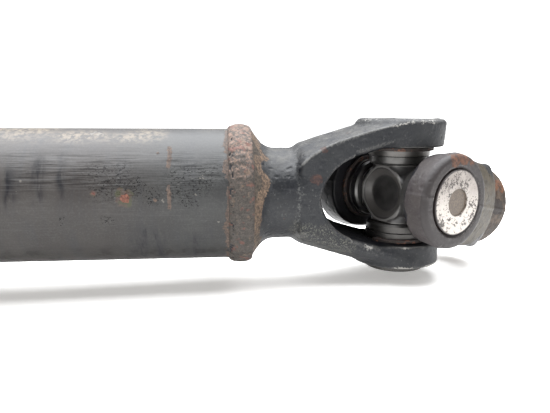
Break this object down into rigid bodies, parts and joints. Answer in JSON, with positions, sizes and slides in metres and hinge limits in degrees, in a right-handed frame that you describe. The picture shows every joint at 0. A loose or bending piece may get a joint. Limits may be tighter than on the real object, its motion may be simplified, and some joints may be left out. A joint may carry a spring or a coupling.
{
  "type": "universal joint shaft",
  "caption": "Tubular drive shaft with a universal joint at each end, a splined length adjustment, a bolted flange at one end and a splined hub at the other.",
  "frame": {"origin": "centre of the mounting flange's face, which is the centre of the flange bolt circle", "axes": "+X along the tube from the flange to the end yoke, +Z along the pin axis of the tube yoke and of the slip yoke; +Y completes a right-handed frame"},
  "size_m": [0.5558, 0.104, 0.104],
  "materials": {
    "painted_tube": "worn semi-gloss black paint",
    "painted_forging": "worn satin black paint over a forged surface",
    "bare_forging": "dusty oxidised forging",
    "weld_metal": "rusted weld metal",
    "machined_steel": "machined, oiled",
    "plated_steel": "zinc plated",
    "dark_forging": "dark satin",
    "cup_steel": "dark satin steel",
    "rusted_spring_steel": "rusted",
    "rubber": "matte",
    "roller_steel": "polished",
    "washer_plastic": "matte"
  },
  "bodies": {
    "shaft": {"tube": "painted_tube", "balance_weight": "painted_tube", "front_weld": "weld_metal", "rear_weld": "weld_metal", "tube_yoke": "painted_forging", "spline_stub": "machined_steel", "front_cup_top": "cup_steel", "front_cup_bottom": "cup_steel", "front_clip_top": "rusted_spring_steel", "front_clip_bottom": "rusted_spring_steel", "front_seal_top": "rubber", "front_seal_bottom": "rubber", "front_needles_tube_yoke": "roller_steel", "front_washers_tube_yoke": "washer_plastic"},
    "front_cross": {"front_cross": "dark_forging", "front_shield_top": "cup_steel", "front_shield_bottom": "cup_steel", "front_shield_right": "cup_steel", "front_shield_left": "cup_steel"},
    "end_yoke": {"end_yoke": "bare_forging", "front_cup_right": "cup_steel", "front_cup_left": "cup_steel", "front_clip_right": "rusted_spring_steel", "front_clip_left": "rusted_spring_steel", "front_seal_right": "rubber", "front_seal_left": "rubber", "front_needles_end_yoke": "roller_steel", "front_washers_end_yoke": "washer_plastic"},
    "slip_yoke": {"slip_yoke": "painted_forging", "dust_cap": "machined_steel", "dust_cap_seal": "rubber", "grease_nipple": "plated_steel", "rear_cup_top": "cup_steel", "rear_cup_bottom": "cup_steel", "rear_clip_top": "rusted_spring_steel", "rear_clip_bottom": "rusted_spring_steel", "rear_seal_top": "rubber", "rear_seal_bottom": "rubber", "rear_needles_slip_yoke": "roller_steel", "rear_washers_slip_yoke": "washer_plastic"},
    "rear_cross": {"rear_cross": "dark_forging", "rear_shield_top": "cup_steel", "rear_shield_bottom": "cup_steel", "rear_shield_right": "cup_steel", "rear_shield_left": "cup_steel"},
    "flange_yoke": {"flange_yoke": "painted_forging", "rear_cup_right": "cup_steel", "rear_cup_left": "cup_steel", "rear_clip_right": "rusted_spring_steel", "rear_clip_left": "rusted_spring_steel", "rear_seal_right": "rubber", "rear_seal_left": "rubber", "rear_needles_flange_yoke": "roller_steel", "rear_washers_flange_yoke": "washer_plastic"}
  },
  "joints": [
    {"name": "front_cross_swing", "type": "hinge", "parent": "shaft", "child": "front_cross", "pos_m": [0.4908, 0, 0], "axis": [0, 0, 1], "range_deg": [-57, 3]},
    {"name": "end_yoke_tilt", "type": "hinge", "parent": "front_cross", "child": "end_yoke", "pos_m": [0.4908, 0, 0], "axis": [0.454, -0.891, 0], "range_deg": [-18.7, 41.3]},
    {"name": "shaft_slip", "type": "slide", "parent": "shaft", "child": "slip_yoke", "axis": [-1, 0, 0], "range_m": [-0.02, 0.03]},
    {"name": "rear_cross_swing", "type": "hinge", "parent": "slip_yoke", "child": "rear_cross", "pos_m": [0.062, 0, 0], "axis": [0, 0, 1], "range_deg": [-30, 30]},
    {"name": "flange_yoke_tilt", "type": "hinge", "parent": "rear_cross", "child": "flange_yoke", "pos_m": [0.062, 0, 0], "axis": [0, 1, 0], "range_deg": [-30, 30]}
  ]
}
